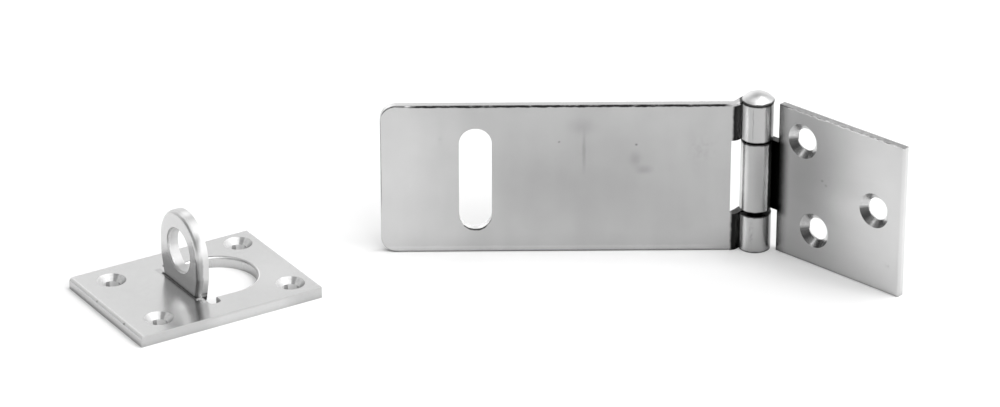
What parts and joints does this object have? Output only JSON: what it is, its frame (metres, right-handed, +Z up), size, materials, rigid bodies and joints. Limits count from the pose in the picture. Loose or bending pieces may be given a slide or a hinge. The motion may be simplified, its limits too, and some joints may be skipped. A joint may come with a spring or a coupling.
{
  "type": "hasp and staple",
  "caption": "Stainless hasp and staple: a slotted, cranked strap turns on a pin hinge with a countersunk leaf, and a flat staple plate has its eyed lug folded up from a pressed opening.",
  "frame": {"origin": "middle of the whole set's footprint, on the surface that it stands on", "axes": "+X along the strap from its free end to the hinge, +Z up along the hinge pin, -Y the side that the strap's front face looks to"},
  "size_m": [0.2046, 0.0581, 0.0424],
  "materials": {
    "strap_steel": "satin polished stainless steel",
    "leaf_steel": "satin polished stainless steel",
    "pin_steel": "polished stainless steel",
    "staple_steel": "satin polished stainless steel"
  },
  "bodies": {
    "leaf": {"hinge_leaf": "leaf_steel", "staple_plate": "staple_steel"},
    "strap": {"hasp_strap": "strap_steel", "hinge_pin": "pin_steel"}
  },
  "joints": [
    {"name": "strap_swing", "type": "hinge", "parent": "leaf", "child": "strap", "pos_m": [0.0677, 0.02445, 0.02], "axis": [0, 0, 1], "range_deg": [-43.6, 132]}
  ]
}
